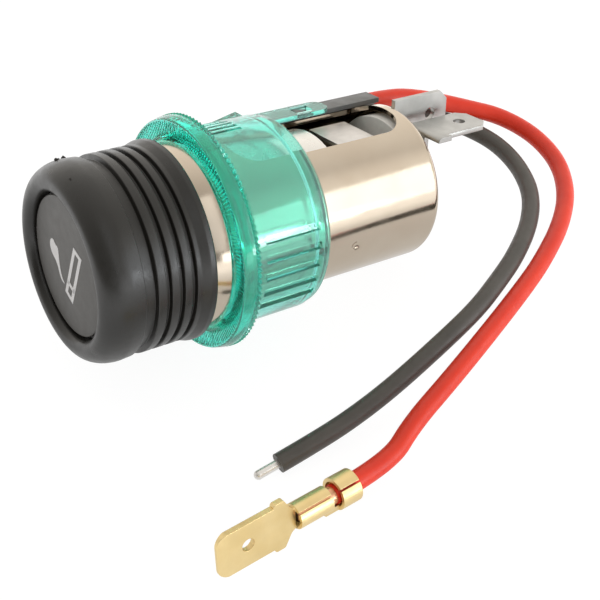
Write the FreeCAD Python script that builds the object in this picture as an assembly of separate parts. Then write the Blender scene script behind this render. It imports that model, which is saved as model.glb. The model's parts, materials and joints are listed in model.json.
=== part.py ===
import FreeCAD, Part
import math
import os

# Car cigarette lighter: a nickel-plated socket in a green light ring, its lamp on two leads, and the plug.
# Working frame, millimetres: Y is the socket's axis (0 at the ring's front face, growing to the terminals),
# Z points to the window in its wall, X completes it. The finished pieces are then laid on the floor.

# Socket shell
shell_diameter = 22.5
shell_wall = 0.6
shell_end = 35.5
shell_edge_radius = 1.2
collar_diameter = 25.2
collar_front_diameter = 23.6
collar_length = 2.2
collar_corner = 0.4
base_hole_diameter = 7.0
window_front = 6.0
window_end = 33.3
window_width = 10.4
window_corner = 3.4
dent_station = 20.8
dent_angle = 104.0
dent_radius = 1.1
dent_depth = 0.4

# Light ring
flange_front_diameter = 31.0
flange_diameter = 31.6
flange_thickness = 2.4
tooth_height = 0.25
tooth_count = 180
tooth_length = 0.7
ring_body_diameter = 27.2
ring_length = 15.1
ring_wall = 1.4
ring_seat_length = 1.6
ring_rear_chamfer = 0.7
ring_rim_length = 1.5
ring_rim_step = 0.25
ring_fit = 0.1
flute_width = 1.1
flute_depth = 0.5
flute_front = 4.6
flute_end = 13.0
flute_angles = [76.0, 87.0, 98.0, 109.0, 120.0]
fine_flute_width = 0.5
fine_flute_depth = 0.25
fine_flute_end = 8.8
fine_flute_count = 9
fine_flute_start = -36.0
fine_flute_step = 5.0
face_rib_count = 180
face_rib_width = 0.26
face_rib_depth = 0.18
face_rib_inner = 13.3
face_rib_outer = 15.2
arm_end = 26.7
arm_width = 3.6
arm_thickness = 0.6
arm_middle = -5.4
arm_slot_length = 2.8
arm_slot_width = 2.0
arm_slot_front = 21.3
arm_tip_radius = 1.4
wedge_front = 9.4
wedge_end = 14.0
wedge_height = 0.35
wedge_middle = -7.3
wedge_width = 2.8

# Lamp holder and lamp, beside the window
holder_front = 15.5
holder_end = 36.5
holder_near = -5.0
holder_far = -14.3
holder_top = 10.85
holder_low = 3.0
holder_shoulder = -8.1
holder_slope = 28.5
holder_fit = 0.1
holder_corner = 0.5
catch_clearance = 0.3
lamp_height = 6.2
lamp_side = -12.2
lamp_diameter = 3.2
lamp_front = 16.2
lamp_length = 9.6
lamp_fit = 0.15
lead_diameter = 0.6
lead_spacing = 1.3

# Rear contact stack
insulator_thickness = 2.4
insulator_diameter = 19.8
insulator_boss_diameter = 8.4
insulator_boss_length = 2.9
clip_width = 7.4
clip_thickness = 0.6
clip_height = 9.0
clip_front = 23.0
clip_arms = 3
clip_ridge_station = 24.3
clip_ridge_radius = 0.35
stud_diameter = 4.0
stud_head_diameter = 6.4
stud_head_thickness = 1.0
stud_end = 40.0
stud_fit = 0.05
outer_insulator_thickness = 1.0
outer_insulator_diameter = 18.2
nut_width = 7.0
nut_thickness = 1.7

# Blade terminals
blade_thickness = 0.8
blade_width = 6.3
blade_shoulder = 0.8
blade_corner = 1.3
blade_bend_radius = 0.7
blade_hole_diameter = 1.7
live_blade_height = 8.4
live_blade_side = 1.6
live_blade_end = 46.8
live_shoulder_end = 38.9
live_foot_radius = 4.4
live_leg_width = 4.0
earth_blade_side = -0.9
earth_blade_low = 5.6
earth_blade_end = 45.4
earth_foot_width = 4.6
earth_foot_height = 3.2

# Lighter plug
sleeve_diameter = 20.6
sleeve_wall = 0.5
sleeve_end = 20.5
sleeve_flange_thickness = 0.6
plug_gap = 0.3
web_station = 4.0
web_thickness = 0.8
stem_diameter = 5.0
stem_running_fit = 0.08
stem_shoulder_diameter = 7.4
stem_shoulder_thickness = 1.1
cup_diameter = 16.0
cup_wall = 0.5
cup_floor = 17.0
cup_end = 22.6
rivet_shank_diameter = 3.5
rivet_head_diameter = 6.0
rivet_head_thickness = 0.8
ceramic_thickness = 1.2
coil_strip = 0.35
coil_width = 1.8
coil_pitch = 0.95
coil_core_radius = 1.0
coil_clearance = 0.4
spring_radius = 5.2
spring_wire = 0.9
spring_turns = 5
spring_runs = 12
push_travel = 2.3
push_clearance = 0.25

# Knob
knob_rear_diameter = 27.0
knob_rib_diameter = 26.2
knob_groove_diameter = 24.9
knob_bulge_diameter = 26.4
knob_bulge_rear = -12.4
knob_widest = -13.8
knob_front = -17.6
knob_lip = 1.2
knob_edge = 0.25
knob_band_length = 0.9
knob_flare_length = 1.15
knob_skirt_depth = 2.7
knob_skirt_diameter = 25.9
knob_cavity_diameter = 23.0
knob_cavity_end = -11.6
groove_stations = [-11.475, -9.13, -7.33, -5.6]
groove_widths = [1.85, 0.8, 0.8, 0.8]
groove_floor_share = 0.7
recess_diameter = 19.3
recess_depth = 2.2
face_disc_diameter = 18.5
face_disc_thickness = 1.1
face_disc_edge = 0.2
hub_diameter = 8.4
hub_end = -6.5
stem_grip = 4.0

# Leads, the tab crimped to one of them, and how the part lies
lead_wire_diameter = 2.6
red_exit_side = -9.6
red_exit_height = 8.6
black_exit_side = -12.2
black_exit_height = 5.2
lead_straight = 6.0
floor_clearance = 0.05
strip_gap = 0.2
bend_share = 0.45
core_diameter = 1.2
core_length = 3.6
tab_rear_x = 37.74
tab_rear_y = 0.93
tab_rear_height = 2.78
tab_turn = -86.2
tab_pitch = 5.0
tab_roll = -81.0
tab_width = 6.3
tab_thickness = 0.8
tab_length = 19.9
tab_tip_radius = 1.5
tab_coin_length = 1.3
tab_coin_depth = 0.2
tab_ear_width = 7.3
tab_ear_front = 12.0
tab_ear_rear = 10.5
tab_ear_radius = 0.4
tab_hole_diameter = 1.7
tab_hole_station = 15.7
neck_width = 3.0
neck_length = 0.4
neck_overlap = 0.6
neck_radius = 1.2
conductor_crimp_diameter = 3.3
conductor_crimp_rear = 4.0
conductor_crimp_front = 8.9
insulation_crimp_diameter = 4.2
insulation_crimp_front = 2.9
crimp_wall = 0.5
crimp_seam = 0.25
crimp_seam_turn = -35.0
crimp_bridge_width = 2.4
crimp_bridge_overlap = 0.8
roll_at_rest = -11.0
edge_match = 0.01

# Derived sizes
shell_radius = shell_diameter / 2
shell_bore = shell_radius - shell_wall
collar_radius = collar_diameter / 2
collar_front_radius = collar_front_diameter / 2
collar_bore = collar_front_radius - shell_wall
ring_radius = ring_body_diameter / 2
ring_bore = shell_radius + ring_fit
flange_radius = flange_diameter / 2
contact_radius = flange_radius + tooth_height
base_front = shell_end - shell_wall
insulator_front = base_front - insulator_thickness
clip_base_end = insulator_front - insulator_boss_length
clip_base_front = clip_base_end - clip_thickness
plate_front = shell_end + outer_insulator_thickness
plate_end = plate_front + blade_thickness
stud_radius = stud_diameter / 2
stem_radius = stem_diameter / 2
cup_radius = cup_diameter / 2
sleeve_radius = sleeve_diameter / 2
flange_seat = -shell_wall - plug_gap
seat_front = flange_seat - sleeve_flange_thickness
rivet_end = cup_floor + cup_wall + rivet_head_thickness
coil_front = rivet_end + ceramic_thickness
recess_floor = knob_front + recess_depth
knob_rear = -push_travel - push_clearance
coil_turns = int((cup_radius - cup_wall - coil_clearance - coil_strip - coil_core_radius) / coil_pitch)

axis = FreeCAD.Vector(0, 1, 0)
origin = FreeCAD.Vector(0, 0, 0)


def at(x, y, z):
    """A point of the working frame."""
    return FreeCAD.Vector(x, y, z)


def turned(steps):
    """Revolves a closed outline about the axis. A step is (radius, station), or four numbers for an arc."""
    edges = []
    last = at(steps[0][0], steps[0][1], 0)
    first = last
    for step in steps[1:]:
        end = at(step[-2], step[-1], 0)
        if len(step) == 4:
            edges.append(Part.Arc(last, at(step[0], step[1], 0), end).toShape())
        else:
            edges.append(Part.LineSegment(last, end).toShape())
        last = end
    edges.append(Part.LineSegment(last, first).toShape())
    return Part.Face(Part.Wire(edges)).revolve(origin, axis, 360)


def rod(radius, start, end, x=0.0, z=0.0):
    """A round bar along the axis, or beside it."""
    return Part.makeCylinder(radius, end - start, at(x, start, z), axis)


def block(x0, x1, y0, y1, z0, z1):
    """A box between two corners."""
    return Part.makeBox(x1 - x0, y1 - y0, z1 - z0, at(x0, y0, z0))


def prism(points, direction):
    """A flat outline pushed along a direction."""
    return Part.Face(Part.makePolygon(points + points[:1])).extrude(direction)


def about_axis(shape, angle):
    """A copy turned about the axis; a positive angle goes from Z towards X."""
    copy = shape.copy()
    copy.rotate(origin, axis, angle)
    return copy


def eased(corner_radius, centre_radius, centre_station, angle):
    """The point at an angle on a corner's circle, measured from the axis direction towards the rim."""
    turn = math.radians(angle)
    return (centre_radius + corner_radius * math.sin(turn), centre_station + corner_radius * math.cos(turn))


def socket_shell():
    """Drawn cup with a rolled, tapering collar in front, a long window and a pierced base."""
    edge_centre = shell_end - shell_edge_radius
    outer_centre = shell_radius - shell_edge_radius
    inner_edge = shell_edge_radius - shell_wall
    rim_middle = collar_front_radius - shell_wall / 2
    steps = [
        (collar_bore, -collar_length),
        (rim_middle, -collar_length - shell_wall / 2, collar_front_radius, -collar_length),
        (collar_radius, -collar_corner),
        eased(collar_corner, collar_radius - collar_corner, -collar_corner, 45)
        + (collar_radius - collar_corner, 0),
        (shell_radius, 0),
        (shell_radius, edge_centre),
        eased(shell_edge_radius, outer_centre, edge_centre, 45) + (outer_centre, shell_end),
        (base_hole_diameter / 2, shell_end),
        (base_hole_diameter / 2, base_front),
        (outer_centre, base_front),
        eased(inner_edge, outer_centre, edge_centre, 45) + (shell_bore, edge_centre),
        (shell_bore, -shell_wall),
        (collar_bore, -shell_wall),
    ]
    shell = turned(steps)
    half = window_width / 2
    window = block(-half, half, window_front, window_end, 0, collar_radius)
    upright = [edge for edge in window.Edges if abs(edge.Vertexes[0].Z - edge.Vertexes[-1].Z) > half]
    window = window.makeFillet(window_corner, upright)
    dent_middle = at(0, dent_station, shell_radius + dent_radius - dent_depth)
    dent = about_axis(Part.makeSphere(dent_radius, dent_middle), dent_angle)
    return shell.cut(window).cut(dent)


def light_ring():
    """Translucent ring: ribbed, toothed flange, body tube on two seats, flutes, a wedge and the lamp arm."""
    front_radius = flange_front_diameter / 2
    tube_bore = ring_radius - ring_wall
    rear_seat = ring_length - ring_seat_length
    rim_radius = ring_radius - ring_rim_step
    ring = turned([
        (ring_bore, 0),
        (front_radius, 0),
        (flange_radius, flange_thickness / 2),
        (flange_radius, flange_thickness),
        (ring_radius, flange_thickness),
        (ring_radius, ring_length - ring_rim_length - ring_rim_step),
        (rim_radius, ring_length - ring_rim_length),
        (rim_radius, ring_length - ring_rear_chamfer),
        (rim_radius - ring_rear_chamfer, ring_length),
        (ring_bore, ring_length),
        (ring_bore, rear_seat),
        (tube_bore, rear_seat - (tube_bore - ring_bore)),
        (tube_bore, flange_thickness + (tube_bore - ring_bore)),
        (ring_bore, flange_thickness),
    ])
    half_step = math.pi / tooth_count
    star = []
    for index in range(2 * tooth_count):
        radius = flange_radius + tooth_height * (1 - index % 2)
        turn = index * half_step
        star.append(at(radius * math.sin(turn), flange_thickness - tooth_length, radius * math.cos(turn)))
    teeth = prism(star, at(0, tooth_length, 0)).cut(rod(ring_radius, 0, flange_thickness))
    ring = ring.fuse(teeth)
    half_flute = flute_width / 2
    flute = block(-half_flute, half_flute, flute_front, flute_end, ring_radius - flute_depth, flange_radius)
    fine_half = fine_flute_width / 2
    fine_flute = block(-fine_half, fine_half, flange_thickness, fine_flute_end,
                       ring_radius - fine_flute_depth, flange_radius)
    rib_half = face_rib_width / 2
    face_rib = block(-rib_half, rib_half, -face_rib_depth, face_rib_depth, face_rib_inner, face_rib_outer)
    cuts = [about_axis(flute, angle) for angle in flute_angles]
    fine_angles = [fine_flute_start + index * fine_flute_step for index in range(fine_flute_count)]
    cuts += [about_axis(fine_flute, angle) for angle in fine_angles]
    cuts += [about_axis(face_rib, index * 360 / face_rib_count) for index in range(face_rib_count)]
    ring = ring.cut(cuts)
    arm_low = holder_top + holder_fit
    arm_left = arm_middle - arm_width / 2
    arm_right = arm_middle + arm_width / 2
    arm = block(arm_left, arm_right, rear_seat, arm_end, arm_low, arm_low + arm_thickness)
    tip = [edge for edge in arm.Edges if edge.BoundBox.YMin > arm_end - edge_match
           and edge.BoundBox.ZLength > arm_thickness / 2]
    arm = arm.makeFillet(arm_tip_radius, tip)
    slot_left = arm_middle - arm_slot_width / 2
    slot_right = arm_middle + arm_slot_width / 2
    slot_end = arm_slot_front + arm_slot_length
    arm = arm.cut(block(slot_left, slot_right, arm_slot_front, slot_end, 0, arm_low + 2 * arm_thickness))
    base = arm_low - arm_thickness
    peak = arm_low + arm_thickness + wedge_height
    wedge_left = wedge_middle - wedge_width / 2
    wedge = prism([
        at(wedge_left, wedge_front, base),
        at(wedge_left, wedge_front, arm_low),
        at(wedge_left, wedge_end, peak),
        at(wedge_left, wedge_end, base),
    ], at(wedge_width, 0, 0))
    return ring.fuse([arm, wedge]).removeSplitter()


def holder_outline(station):
    """Section of the lamp holder at a station: near wall, flat top, sloped shoulder, far wall and floor."""
    fall = (holder_shoulder - holder_far) * math.tan(math.radians(holder_slope))
    return [
        at(holder_near, station, holder_low),
        at(holder_near, station, holder_top),
        at(holder_shoulder, station, holder_top),
        at(holder_far, station, holder_top - fall),
        at(holder_far, station, holder_low),
    ]


def lamp_holder():
    """Moulded block saddled on the shell, bored for the lamp and leads, with a catch for the ring arm."""
    body = prism(holder_outline(holder_front), at(0, holder_end - holder_front, 0))
    far_edges = [edge for edge in body.Edges if edge.BoundBox.XMax < holder_far + edge_match
                 and edge.BoundBox.YLength > holder_corner]
    body = body.makeFillet(holder_corner, far_edges)
    body = body.cut(rod(shell_radius + holder_fit, holder_front, holder_end))
    catch_half = arm_slot_width / 2 - catch_clearance
    catch_front = arm_slot_front + catch_clearance
    catch_end = arm_slot_front + arm_slot_length - catch_clearance
    catch = prism([
        at(arm_middle - catch_half, catch_front, holder_top - holder_fit),
        at(arm_middle - catch_half, catch_front, holder_top + arm_thickness),
        at(arm_middle - catch_half, catch_end, holder_top + arm_thickness / 2),
        at(arm_middle - catch_half, catch_end, holder_top - holder_fit),
    ], at(2 * catch_half, 0, 0))
    body = body.fuse(catch)
    lamp_end = lamp_front + lamp_length
    bore = rod(lamp_diameter / 2 + lamp_fit, holder_front, lamp_end, lamp_side, lamp_height)
    return body.cut([bore, lamp_leads(lead_diameter + 2 * stud_fit)])


def lamp_leads(diameter):
    """The lamp's two wire legs, from its glass back to the leads at the holder's rear face."""
    start = lamp_front + lamp_length
    middle = (start + holder_end) / 2
    legs = []
    exits = [(red_exit_side, red_exit_height), (black_exit_side, black_exit_height)]
    for offset, (side, height) in zip([lead_spacing / 2, -lead_spacing / 2], exits):
        root = at(lamp_side, start, lamp_height + offset)
        knee = at(lamp_side, middle - offset, lamp_height + offset)
        turn = at(side, middle + lead_spacing, height)
        end = at(side, holder_end, height)
        for begin, finish in [(root, knee), (knee, turn), (turn, end)]:
            run = finish - begin
            legs.append(Part.makeCylinder(diameter / 2, run.Length, begin, run))
        for joint in [knee, turn]:
            legs.append(Part.makeSphere(diameter / 2, joint))
    upper = legs[0].fuse(legs[1:5])
    lower = legs[5].fuse(legs[6:])
    return Part.makeCompound([upper, lower])


def lamp_bulb():
    """Small wire-ended lamp: a round-nosed glass tube pinched flat at the back."""
    radius = lamp_diameter / 2
    end = lamp_front + lamp_length
    nose = radius * (1 - math.sqrt(0.5))
    glass = turned([
        (0, lamp_front),
        (radius - nose, lamp_front + nose, radius, lamp_front + radius),
        (radius, end),
        (0, end),
    ])
    glass.translate(at(lamp_side, 0, lamp_height))
    return glass


def inner_insulator():
    """Ceramic disc on the cup's floor, with a boss that stands the clip off."""
    return turned([
        (stud_radius + stud_fit, clip_base_end),
        (insulator_boss_diameter / 2, clip_base_end),
        (insulator_boss_diameter / 2, insulator_front),
        (insulator_diameter / 2, insulator_front),
        (insulator_diameter / 2, base_front),
        (stud_radius + stud_fit, base_front),
    ])


def outer_insulator():
    """Fibre washer behind the cup, with a spigot in the base hole and a bay for the earth foot."""
    washer = turned([
        (stud_radius + stud_fit, base_front),
        (base_hole_diameter / 2 - stud_fit, base_front),
        (base_hole_diameter / 2 - stud_fit, shell_end),
        (outer_insulator_diameter / 2, shell_end),
        (outer_insulator_diameter / 2, plate_front),
        (stud_radius + stud_fit, plate_front),
    ])
    bay_low = earth_blade_low - plug_gap
    bay_right = earth_blade_side + blade_thickness + plug_gap
    beyond = outer_insulator_diameter
    bay = block(-beyond, bay_right, shell_end, plate_front, bay_low, beyond)
    return washer.cut(bay)


def bimetal_clip():
    """Star of flat bimetal fingers that bend forward and carry a ridge each to catch the element cup."""
    half = clip_width / 2
    foot = block(-half, half, clip_base_front, clip_base_end, 0, clip_height)
    finger = block(-half, half, clip_front, clip_base_end, clip_height - clip_thickness, clip_height)
    ridge_middle = at(-half, clip_ridge_station, clip_height - clip_thickness)
    ridge = Part.makeCylinder(clip_ridge_radius, clip_width, ridge_middle, at(1, 0, 0))
    arm = foot.fuse([finger, ridge]).removeSplitter()
    bend = [edge for edge in arm.Edges if edge.BoundBox.ZMin > clip_height - edge_match
            and edge.BoundBox.YMin > clip_base_end - edge_match]
    arm = arm.makeFillet(clip_thickness, bend)
    arms = [about_axis(arm, index * 360 / clip_arms) for index in range(clip_arms)]
    hole = rod(stud_radius + stud_fit, clip_base_front, clip_base_end)
    return arms[0].fuse(arms[1:]).removeSplitter().cut(hole)


def contact_stud():
    """Brass stud with a domed head that clamps the clip, the insulators and the live blade."""
    head = stud_head_diameter / 2
    front = clip_base_front - stud_head_thickness
    tip = stud_radius * 0.7
    return turned([
        (0, front),
        (head * 0.6, front + stud_head_thickness * 0.12, head, clip_base_front - stud_head_thickness * 0.4),
        (head, clip_base_front),
        (stud_radius, clip_base_front),
        (stud_radius, stud_end - (stud_radius - tip)),
        (tip, stud_end),
        (0, stud_end),
    ])


def stud_nut():
    """Hexagon nut that holds the live blade on the stud."""
    corner = nut_width / 2 / math.cos(math.pi / 6)
    points = [at(corner * math.cos(index * math.pi / 3), plate_end, corner * math.sin(index * math.pi / 3))
              for index in range(6)]
    nut = prism(points, at(0, nut_thickness, 0))
    return nut.cut(rod(stud_radius + stud_fit, plate_end, plate_end + nut_thickness))


def clipped_blade(near, far, root, end, shoulder, shoulder_end):
    """Outline of a blade in its own plane: a wider root, straight sides and clipped tip corners."""
    return [
        (far, root),
        (far, end - blade_corner),
        (far + blade_corner, end),
        (near - blade_corner, end),
        (near, end - blade_corner),
        (near, shoulder_end),
        (near + shoulder, shoulder_end),
        (near + shoulder, root),
    ]


def live_blade():
    """Blade bent from a foot that sits on the outer insulator under the nut."""
    far = live_blade_side
    near = far + blade_width
    leg = far + live_leg_width
    low = live_blade_height - blade_thickness / 2
    outline = clipped_blade(near, far, plate_front, live_blade_end, blade_shoulder, live_shoulder_end)
    blade = prism([at(x, y, low) for x, y in outline], at(0, 0, blade_thickness))
    foot = prism([
        at(-live_foot_radius, plate_front, 0),
        at(-live_foot_radius * 0.5, plate_front, -live_foot_radius),
        at(live_foot_radius * 0.5, plate_front, -live_foot_radius),
        at(leg, plate_front, live_foot_radius * 0.8),
        at(leg, plate_front, low + blade_thickness),
        at(far, plate_front, low + blade_thickness),
        at(far, plate_front, live_foot_radius * 0.8),
        at(-live_foot_radius * 0.5, plate_front, live_foot_radius * 0.8),
    ], at(0, blade_thickness, 0))
    piece = blade.fuse(foot).removeSplitter()
    bend = [edge for edge in piece.Edges if edge.BoundBox.ZMin > low + blade_thickness - edge_match
            and edge.BoundBox.YMax < plate_front + edge_match]
    piece = piece.makeFillet(blade_bend_radius, bend)
    hole_middle = at((near + far) / 2, live_blade_end - blade_width / 2, low)
    hole = Part.makeCylinder(blade_hole_diameter / 2, blade_thickness, hole_middle, at(0, 0, 1))
    stud_hole = rod(stud_radius + stud_fit, plate_front, plate_end)
    return piece.cut([hole, stud_hole])


def earth_blade():
    """Upright blade bent from a foot welded to the cup's base."""
    low = earth_blade_low
    high = low + blade_width
    outline = clipped_blade(high, low, shell_end, earth_blade_end, 0.0, earth_blade_end - blade_width)
    outline = [point for index, point in enumerate(outline) if index not in (5, 6)]
    blade = prism([at(earth_blade_side, y, z) for z, y in outline], at(blade_thickness, 0, 0))
    foot = block(earth_blade_side - earth_foot_width, earth_blade_side + blade_thickness,
                 shell_end, shell_end + blade_thickness, low, low + earth_foot_height)
    hole_middle = at(earth_blade_side, earth_blade_end - blade_width / 2, (low + high) / 2)
    hole = Part.makeCylinder(blade_hole_diameter / 2, blade_thickness, hole_middle, at(1, 0, 0))
    return blade.fuse(foot).removeSplitter().cut(hole)


def plug_sleeve():
    """Drawn sleeve of the plug: a flange in the collar, a tube in the socket and a web to guide the stem."""
    bore = sleeve_radius - sleeve_wall
    rim = collar_bore - plug_gap
    hole = stem_radius + stem_running_fit
    return turned([
        (bore, seat_front),
        (rim, seat_front),
        (rim, flange_seat),
        (sleeve_radius, flange_seat),
        (sleeve_radius, sleeve_end - sleeve_wall / 2),
        (sleeve_radius - sleeve_wall / 2, sleeve_end),
        (bore, sleeve_end),
        (bore, web_station + web_thickness),
        (hole, web_station + web_thickness),
        (hole, web_station),
        (bore, web_station),
    ])


def return_spring():
    """Round-wire spring between the sleeve's web and the knob's inner face, as short mitred runs of wire."""
    wire_radius = spring_wire / 2
    start = knob_cavity_end + wire_radius + stud_fit
    height = web_station - wire_radius - stud_fit - start
    last = spring_turns * spring_runs
    points = []
    for index in range(last + 1):
        turn = index * 2 * math.pi / spring_runs
        rise = start + height * index / last
        points.append(at(spring_radius * math.cos(turn), rise, spring_radius * math.sin(turn)))
    section = Part.Wire(Part.makeCircle(wire_radius, points[0], points[1] - points[0]))
    return Part.makePolygon(points).makePipeShell([section], True, False, 1)


def knob():
    """Moulded knob: rounded front with a recess, ribs between turned grooves, a hollow skirt and a hub."""
    bulge = knob_bulge_diameter / 2
    rib = knob_rib_diameter / 2
    rear = knob_rear_diameter / 2
    recess = recess_diameter / 2
    skirt = knob_skirt_diameter / 2
    cavity = knob_cavity_diameter / 2
    hub = hub_diameter / 2
    lip_centre = recess + knob_lip
    crown = []
    for angle in [22.5, 45.0, 67.5, 90.0]:
        turn = math.radians(angle)
        crown.append((lip_centre + (bulge - lip_centre) * math.sin(turn),
                      knob_widest - (knob_widest - knob_front) * math.cos(turn)))
    body = turned([
        (0, recess_floor),
        (recess, recess_floor),
        (recess, knob_front + knob_lip),
        eased(knob_lip, lip_centre, knob_front + knob_lip, 225) + (lip_centre, knob_front),
        crown[0] + crown[1],
        crown[2] + crown[3],
        ((3 * bulge + rib) / 4, (knob_widest + knob_bulge_rear) / 2, rib, knob_bulge_rear),
        (rib, knob_rear - knob_band_length - knob_flare_length),
        (rear, knob_rear - knob_band_length),
        (rear, knob_rear - knob_edge),
        (rear - knob_edge, knob_rear),
        (skirt, knob_rear),
        (skirt, knob_rear - knob_skirt_depth),
        (cavity, knob_rear - knob_skirt_depth),
        (cavity, knob_cavity_end),
        (hub, knob_cavity_end),
        (hub, hub_end),
        (stem_radius, hub_end),
        (stem_radius, hub_end - stem_grip),
        (0, hub_end - stem_grip),
    ])
    groove_radius = knob_groove_diameter / 2
    grooves = []
    for station, width in zip(groove_stations, groove_widths):
        floor = width * groove_floor_share
        grooves.append(turned([
            (groove_radius, station - floor / 2),
            (rear, station - width / 2),
            (rear, station + width / 2),
            (groove_radius, station + floor / 2),
        ]))
    return body.cut(grooves)


def face_disc():
    """Separate disc in the knob's recess, which carries the symbol."""
    radius = face_disc_diameter / 2
    front = recess_floor - face_disc_thickness
    return turned([
        (0, front),
        (radius - face_disc_edge, front),
        (radius, front + face_disc_edge),
        (radius, recess_floor),
        (0, recess_floor),
    ])


def stem():
    """Steel stem from the knob's hub to the element cup, with a shoulder behind the sleeve's web."""
    start = hub_end - stem_grip
    stop = web_station + web_thickness + plug_gap
    shoulder = stem_shoulder_diameter / 2
    rivet = rivet_head_diameter / 2
    shank = rivet_shank_diameter / 2
    return turned([
        (0, start),
        (stem_radius, start),
        (stem_radius, stop),
        (shoulder, stop),
        (shoulder, stop + stem_shoulder_thickness),
        (stem_radius, stop + stem_shoulder_thickness),
        (stem_radius, cup_floor),
        (shank, cup_floor),
        (shank, cup_floor + cup_wall),
        (rivet, cup_floor + cup_wall),
        (rivet, rivet_end - rivet_head_thickness / 2),
        (rivet / 2, rivet_end),
        (0, rivet_end),
    ])


def element_cup():
    """Pressed cup that holds the glowing coil and snaps between the clip's fingers."""
    bore = cup_radius - cup_wall
    hole = rivet_shank_diameter / 2
    return turned([
        (hole, cup_floor),
        (cup_radius - cup_wall, cup_floor),
        (cup_radius, cup_floor + cup_wall),
        (cup_radius, cup_end),
        (bore, cup_end),
        (bore, cup_floor + cup_wall),
        (hole, cup_floor + cup_wall),
    ])


def element_ceramic():
    """Ceramic seat between the rivet head and the coil."""
    bore = cup_radius - cup_wall
    inner = rivet_head_diameter / 2 + stud_fit
    return turned([
        (0, rivet_end),
        (inner, rivet_end),
        (inner, cup_floor + cup_wall),
        (bore, cup_floor + cup_wall),
        (bore, coil_front),
        (0, coil_front),
    ])


def heating_coil():
    """Flat strip wound as a spiral of half circles, each a half pitch larger than the one before."""
    inner = []
    outer = []
    start = -coil_core_radius
    inner_end = start
    sign = 1
    step = coil_pitch / 2
    for index in range(2 * coil_turns):
        radius = coil_core_radius + index * step
        finish = inner_end + sign * 2 * radius
        middle = (inner_end + finish) / 2
        inner.append((at(inner_end, 0, 0), at(middle, 0, sign * radius), at(finish, 0, 0)))
        wide = radius + coil_strip
        outer.append((at(inner_end - sign * coil_strip, 0, 0), at(middle, 0, sign * wide),
                      at(finish + sign * coil_strip, 0, 0)))
        inner_end = finish
        sign = -sign
    edges = [Part.Arc(*arc).toShape() for arc in inner]
    edges.append(Part.LineSegment(inner[-1][2], outer[-1][2]).toShape())
    edges += [Part.Arc(arc[2], arc[1], arc[0]).toShape() for arc in reversed(outer)]
    edges.append(Part.LineSegment(outer[0][0], inner[0][0]).toShape())
    coil = Part.Face(Part.Wire(edges)).extrude(at(0, coil_width, 0))
    coil.translate(at(0, coil_front, 0))
    return coil


# How the part lies: it rests on the flange's teeth and on the rounded edge of the shell, so the rear is low
lean = contact_radius - (shell_radius - shell_edge_radius)
span = shell_end - shell_edge_radius - flange_thickness
tilt = math.atan2(lean, span) - math.asin(shell_edge_radius / math.hypot(lean, span))
axis_height = contact_radius * math.cos(tilt) + flange_thickness * math.sin(tilt)
rolled = FreeCAD.Placement(origin, FreeCAD.Rotation(axis, roll_at_rest))
leaned = FreeCAD.Placement(at(0, 0, axis_height), FreeCAD.Rotation(at(1, 0, 0), -math.degrees(tilt)))
at_rest = leaned.multiply(rolled)


def laid(shape):
    """A copy of a piece of the working frame, laid on the floor."""
    copy = shape.copy()
    copy.Placement = at_rest.multiply(copy.Placement)
    return copy


def lead_tube(points, name):
    """A lead's tube: straight runs joined by arcs as large as the shorter run beside each point allows."""
    edges = []
    last = points[0]
    radii = []
    for before, corner, after in zip(points, points[1:], points[2:]):
        to_before = before - corner
        to_after = after - corner
        turn = math.pi - to_before.getAngle(to_after)
        setback = bend_share * min(to_before.Length, to_after.Length)
        radius = setback / math.tan(turn / 2)
        to_before.normalize()
        to_after.normalize()
        bisector = to_before + to_after
        bisector.normalize()
        enter = corner + to_before * setback
        leave = corner + to_after * setback
        middle = corner + bisector * (radius / math.cos(turn / 2) - radius)
        edges.append(Part.LineSegment(last, enter).toShape())
        edges.append(Part.Arc(enter, middle, leave).toShape())
        radii.append(round(radius, 1))
        last = leave
    edges.append(Part.LineSegment(last, points[-1]).toShape())
    path = Part.Wire(edges)
    section = Part.Wire(Part.makeCircle(lead_wire_diameter / 2, points[0], points[1] - points[0]))
    tube = path.makePipeShell([section], True, False)
    expected = math.pi * lead_wire_diameter ** 2 / 4 * path.Length
    print(name, "radii", radii, "length", round(path.Length, 1), "ratio", round(tube.Volume / expected, 4))
    return tube


# Routes of the two leads over the floor, seen from above the flange's front centre
wire_height = lead_wire_diameter / 2 + floor_clearance
lead_out = at_rest.Rotation.multVec(axis)
red_exit = at_rest.multVec(at(red_exit_side, holder_end, red_exit_height))
black_exit = at_rest.multVec(at(black_exit_side, holder_end, black_exit_height))
tab_rotation = FreeCAD.Rotation(at(0, 0, 1), tab_turn).multiply(FreeCAD.Rotation(at(0, 1, 0), -tab_pitch))
tab_place = FreeCAD.Placement(at(tab_rear_x, tab_rear_y, tab_rear_height), tab_rotation)
red_points = [
    red_exit,
    red_exit + lead_out * lead_straight,
    at(-10.5, 47.7, 14.9),
    at(-9.3, 52.0, 13.1),
    at(-7.3, 56.4, 11.4),
    at(-4.7, 59.9, 10.3),
    at(-0.9, 62.5, 8.9),
    at(3.3, 63.5, 7.6),
    at(7.5, 63.0, 6.2),
    at(12.0, 60.3, 4.7),
    at(15.8, 55.7, 3.3),
    at(18.8, 50.0, 2.1),
    at(21.0, 45.1, wire_height),
    at(25.7, 33.8, wire_height),
    at(30.1, 22.6, wire_height),
    at(33.3, 13.7, wire_height),
    tab_place.multVec(at(-lead_straight, 0, 0)),
    tab_place.multVec(at(insulation_crimp_front + strip_gap, 0, 0)),
]
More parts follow.
